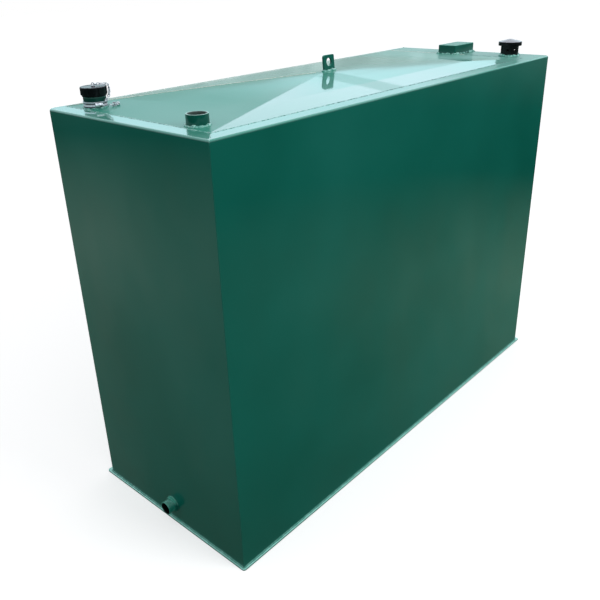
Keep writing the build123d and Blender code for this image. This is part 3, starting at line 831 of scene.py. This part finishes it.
# The vent's lid: a stem inside the body, a ring under it, a brim that hangs over and a low cone
LID_RING = 1.255
lid_outline = rounded_outline(
    [
        (0.0001, LID_RING - 0.024), (0.0100, LID_RING - 0.024), (0.0100, LID_RING), (0.0227, LID_RING),
        (0.0227, LID_RING - 0.005), (0.0257, LID_RING - 0.005), (0.0257, LID_RING), (0.0322, LID_RING),
        (0.0352, LID_RING + 0.011), (0.0392, LID_RING + 0.011), (0.0392, LID_RING), (0.0422, LID_RING),
        (0.0422, LID_RING + 0.014), (0.0050, LID_RING + 0.023), (0.0001, LID_RING + 0.0232),
    ],
    [
        0.0001, 0.0010, 0.0004, 0.0004, 0.0004, 0.0006, 0.0006, 0.0006,
        0.0006, 0.0006, 0.0006, 0.0008, 0.0012, 0.0030, 0.0001,
    ],
)
turned_surface("vent_lid", lid_outline, VENT, 128, lid_plastic, "tank", ("vent_cap",))

# Safety chain

chain_links("chain_hanging", "chain_upper_run", "swivel")
chain_links("chain_lying", "chain_slack_run", "tank")

# Weld beads: along the panel's seams, down the walls' corners, round the foot and round each fitting

panel_width = PANEL_REAR - PANEL_FRONT
dark_start = PANEL_LEFT + 0.42
dark_end = (PANEL_RIGHT, PANEL_FRONT + panel_width * 0.4)
front_seam = [(dark_start + (PANEL_RIGHT - dark_start) * t, PANEL_FRONT) for t in np.linspace(0, 1, 9)]
front_seam += [(PANEL_RIGHT, PANEL_FRONT + panel_width * 0.2), dark_end]
left_seam = [(dark_start, PANEL_FRONT), (PANEL_LEFT, PANEL_FRONT), (PANEL_LEFT, PANEL_REAR)]
rear_seam = [(PANEL_LEFT, PANEL_REAR), (PANEL_RIGHT, PANEL_REAR), dark_end]
flange_seam = [(PANEL_RIGHT + 0.002, PANEL_REAR), (0.836, PANEL_REAR), (0.8485, 0.3265)]
mitre_seam = [(PANEL_LEFT - 0.002, PANEL_FRONT - 0.002), (-0.8475, -0.3255)]
# The front seam's dark bead is painted shade.
bead("front_panel_weld", on_top(front_seam, -0.0008), 0.0019, 0.0034, 3, False, 0.8, broken=0.8, finish=seam_shade_paint)
bead("left_panel_weld", on_top(left_seam, -0.0008), 0.0021, 0.0034, 4, False, 0.8, broken=0.7)
# The rear seam's pale bead is a painted highlight.
bead("rear_panel_weld", on_top(rear_seam, -0.0006), 0.0021, 0.0034, 6, False, 0.8, broken=0.6, finish=ridge_highlight_paint)
bead("right_flange_weld", on_top(flange_seam, -0.0006), 0.0020, 0.0034, 5, False, 0.8)
bead("front_mitre_weld", on_top(mitre_seam, -0.0010), 0.0018, 0.003, 7, False, 0.7)

for name, x, y, seed in (("front_corner_weld", -0.8496, -0.3276, 11), ("back_corner_weld", 0.8496, 0.3276, 13)):
    upright = [(x, y, BASE + 0.002), (x, y, HEIGHT - 0.0035)]
    bead(name, upright, 0.0014, 0.0036, seed, False, ragged=0.8, finish=paint)

fold_middle = (HALF_LENGTH - WALL_FOLD, -HALF_WIDTH + WALL_FOLD)
foot_plan = [(-HALF_LENGTH, -HALF_WIDTH), (HALF_LENGTH - WALL_FOLD, -HALF_WIDTH)]
foot_plan += [
    (fold_middle[0] + WALL_FOLD * math.sin(turn), fold_middle[1] - WALL_FOLD * math.cos(turn))
    for turn in np.linspace(0, np.pi / 2, 9)[1:-1]
]
foot_plan += [(HALF_LENGTH, -HALF_WIDTH + WALL_FOLD)]
foot_plan += [(-x, -y) for x, y in foot_plan] + [foot_plan[0]]
foot_line = np.column_stack([np.array(foot_plan), np.full(len(foot_plan), BASE + 0.0012)])
bead("foot_weld", foot_line, 0.0024, 0.0050, 17, finish=paint)

riser_ring = circle_path(RISER, PIPE_RADIUS + 0.0006)
socket_ring = circle_path(SOCKET, 0.0281)
vent_ring = circle_path(VENT, PIPE_RADIUS + 0.0022)
hood_ring = box_path(HOOD, 0.1450, 0.0770)
lug_ring = box_path(PEAK, 0.0520, 0.0090, 0.001)
bead("riser_weld", on_top(riser_ring, 0.0006), 0.0027, 0.0042, 19, lump=0.35, ragged=1.6)
bead("socket_weld", on_top(socket_ring, 0.0006), 0.0036, 0.0056, 23, lump=0.35, ragged=2.2)
bead("vent_weld", on_top(vent_ring, 0.0012), 0.0048, 0.0066, 29, lump=0.35, ragged=2.2, broken=0.3)
bead("hood_weld", on_top(hood_ring, 0.0006), 0.0046, 0.0070, 31, lump=0.35, ragged=2.4, broken=0.4)
bead("lug_weld", on_top(lug_ring, 0.0006), 0.0038, 0.0056, 37, lump=0.35, ragged=2.0)

# The raised crease from the panel's back left corner to its peak, in pale paint: a painted highlight along the
# fold
corner = np.array((PANEL_LEFT, PANEL_REAR))
crease_run = np.array((PEAK[0] - 0.03, PEAK[1])) - corner
crease = on_top(corner + np.linspace(0.01, 0.97, 60)[:, None] * crease_run, 0.0002)
bead("back_left_crease", crease, 0.0013, 0.02, 43, False, 0.8, lump=0.0, ragged=0.5, finish=ridge_highlight_paint)

outlet_ring = circle_path(OUTLET, 0.0246)
outlet_ring = np.column_stack([np.full(len(outlet_ring), -HALF_LENGTH), outlet_ring])
bead("outlet_weld", outlet_ring, 0.0018, 0.004, 41, lump=0.3, ragged=1.3, finish=paint)

# Floor, surroundings and lamps

FLOOR_REACH = 30.0
CAMERA_LIFT = 0.48
MATT_LIGHT = 0.62
FAR_FLOOR = (0.14, 0.22, 0.20)
BRIGHT_GAP = (0.72, 0.88, 0.89)
# The sky by the sine of its height, up to a half: a dull horizon, a mint haze, then open white
SKY = [
    (0.0, (0.46, 0.58, 0.57)),
    (0.20, (0.46, 0.59, 0.58)),
    (0.245, (0.50, 0.64, 0.66)),
    (0.30, (0.80, 1.18, 1.27)),
    (0.37, (0.94, 1.44, 1.56)),
    (0.42, (1.10, 1.58, 1.72)),
    (0.47, (1.42, 1.70, 1.92)),
    (0.56, (1.68, 2.00, 2.25)),
    (0.68, (1.65, 1.95, 2.20)),
    (1.0, (1.2, 1.35, 1.5)),
]
HORIZON_BANDS = [(0.38, (0.37, 0.48, 0.46)), (0.5, (0.46, 0.59, 0.57)), (0.62, (0.60, 0.74, 0.72))]


def light_of(tree, kind, colour, strength=1.0):
    """The shader of an Emission or Background node, its colour a socket or a plain colour."""
    source = tree.nodes.new(kind)
    feed(tree, source.inputs["Color"], colour)
    source.inputs["Strength"].default_value = strength
    return source.outputs[0]


def mix_shaders(tree, factor, first, second):
    """Mix of two shaders."""
    mixer = tree.nodes.new("ShaderNodeMixShader")
    for socket, value in zip(mixer.inputs, (factor, first, second)):
        tree.links.new(value, socket)
    return mixer.outputs["Shader"]


def by_ray(tree, to_camera, to_gloss, to_matt):
    """One shader for what the camera sees, one for what gloss mirrors and one for what lights matt faces."""
    ray = tree.nodes.new("ShaderNodeLightPath").outputs
    others = mix_shaders(tree, ray["Is Glossy Ray"], to_matt, to_gloss)
    return mix_shaders(tree, ray["Is Camera Ray"], others, to_camera)


def glow(tree, here, centre, reach, stretch, colour):
    """A soft round patch on the floor, brightest in its middle and gone at its reach."""
    mapping = tree.nodes.new("ShaderNodeMapping")
    mapping.vector_type = "TEXTURE"
    mapping.inputs["Location"].default_value = (*centre, 0)
    mapping.inputs["Scale"].default_value = (reach * stretch[0], reach * stretch[1], 1)
    tree.links.new(here, mapping.inputs["Vector"])
    fade = tree.nodes.new("ShaderNodeTexGradient")
    fade.gradient_type = "SPHERICAL"
    tree.links.new(mapping.outputs["Vector"], fade.inputs["Vector"])
    return blend_colour(tree, fade.outputs["Fac"], (0, 0, 0), colour)


def pale_floor():
    """Plain matt floor that takes the object's shadow and is lifted to white for the camera; gloss mirrors
    it as dark, with two soft patches of light and a dull far distance."""
    made, tree, shader = material("pale_floor")
    tree.nodes.remove(shader)
    here = place_of(tree)
    near_light = glow(tree, here, (1.4, -0.6), 2.2, (1.0, 1.0), (0.27, 0.34, 0.24))
    back_light = glow(tree, here, (-2.0, 2.6), 4.4, (0.55, 1.0), (0.42, 0.50, 0.42))
    patches = blend_colour(tree, 1.0, near_light, back_light, "ADD")
    nearby = glow(tree, here, (0, 0), 16.0, (1.0, 1.0), (1, 1, 1))
    distant = to_range(tree, nearby, 0.60, 0.30, 0.0, 1.0)
    mirrored = light_of(tree, "ShaderNodeEmission", blend_colour(tree, distant, patches, FAR_FLOOR))
    matt = tree.nodes.new("ShaderNodeBsdfDiffuse")
    matt.inputs["Color"].default_value = (0.90, 0.90, 0.90, 1)
    lifted = tree.nodes.new("ShaderNodeAddShader")
    tree.links.new(matt.outputs["BSDF"], lifted.inputs[0])
    tree.links.new(light_of(tree, "ShaderNodeEmission", (1, 1, 1), CAMERA_LIFT), lifted.inputs[1])
    surface = by_ray(tree, lifted.outputs["Shader"], mirrored, matt.outputs["BSDF"])
    tree.links.new(surface, tree.nodes["Material Output"].inputs["Surface"])
    return made


def surroundings():
    """White to the camera, an even light on matt surfaces, and to gloss an open sky over a low dull
    horizon with soft upright bands and one bright gap."""
    world = bpy.data.worlds.new("studio")
    bpy.context.scene.world = world
    world.use_nodes = True
    tree = world.node_tree
    tree.nodes.clear()
    x, y, height = coordinates(tree, tree.nodes.new("ShaderNodeTexCoord").outputs["Generated"])
    azimuth = math_node(tree, "ARCTAN2", y, x)
    spread = tree.nodes.new("ShaderNodeCombineXYZ")
    tree.links.new(azimuth, spread.inputs["X"])
    bands = ramp(tree, noise(tree, spread.outputs["Vector"], 16, 2, 0.4), HORIZON_BANDS)
    sky = ramp(tree, to_range(tree, height, 0.0, 0.5, 0.0, 1.0), SKY)
    low = to_range(tree, height, 0.075, 0.115, 1.0, 0.0)
    striped = blend_colour(tree, low, sky, bands)
    gap_side = to_range(tree, azimuth, 0.554, 0.558, 0.0, 1.0)
    gap_end = to_range(tree, azimuth, 0.573, 0.577, 1.0, 0.0)
    mirrored = blend_colour(tree, product(tree, gap_side, gap_end, low), striped, BRIGHT_GAP)
    white, from_sky, on_matt = (
        light_of(tree, "ShaderNodeBackground", colour, strength)
        for colour, strength in (((1.0, 1.0, 1.0), 1.0), (mirrored, 1.0), ((0.97, 0.98, 1.0), MATT_LIGHT))
    )
    out = tree.nodes.new("ShaderNodeOutputWorld")
    tree.links.new(by_ray(tree, white, from_sky, on_matt), out.inputs["Surface"])


floor_mesh = bpy.data.meshes.new("ground")
floor_corners = [(FLOOR_REACH * x, FLOOR_REACH * y, 0) for x, y in ((-1, -1), (1, -1), (1, 1), (-1, 1))]
floor_mesh.from_pydata(floor_corners, [], [[0, 1, 2, 3]])
ground = bpy.data.objects.new("ground", floor_mesh)
bpy.context.scene.collection.objects.link(ground)
floor_mesh.materials.append(pale_floor())


surroundings()


def softbox(name, place, target, size, watts):
    """A square white area lamp that faces its target and isn't mirrored in gloss."""
    lamp = bpy.data.lights.new(name, "AREA")
    lamp.size = size
    lamp.energy = watts
    lamp.specular_factor = 0.35
    holder = bpy.data.objects.new(name, lamp)
    holder.location = place
    holder.rotation_euler = (Vector(target) - Vector(place)).to_track_quat("-Z", "Y").to_euler()
    bpy.context.scene.collection.objects.link(holder)
    holder.visible_glossy = False


softbox("key_lamp", (0.9, -4.6, 2.7), (0, -0.3, 0.6), 2.4, 95)
softbox("side_lamp", (-4.6, -0.6, 2.6), (-0.8, 0, 0.7), 2.0, 8)

# Camera, solved from the photograph's edges

IMAGE_SIDE = 600
FOCAL_PIXELS = 684.68
MIDDLE_PIXEL = (297.49, 281.64)
camera_data = bpy.data.cameras.new("camera")
camera = bpy.data.objects.new("camera", camera_data)
bpy.context.scene.collection.objects.link(camera)
camera_data.sensor_width = 36.0
camera_data.lens = FOCAL_PIXELS / IMAGE_SIDE * 36.0
camera_data.shift_x = (IMAGE_SIDE / 2 - MIDDLE_PIXEL[0]) / IMAGE_SIDE
camera_data.shift_y = (MIDDLE_PIXEL[1] - IMAGE_SIDE / 2) / IMAGE_SIDE
camera_data.clip_start = 0.05
camera_data.clip_end = 200
camera.matrix_world = Matrix(
    (
        (0.66681, 0.32621, -0.67004, -1.7811),
        (-0.74468, 0.25728, -0.61584, -1.4224),
        (-0.02851, 0.90961, 0.41448, 1.5372),
        (0, 0, 0, 1),
    )
)
scene = bpy.context.scene
scene.camera = camera
scene.view_settings.view_transform = "Standard"
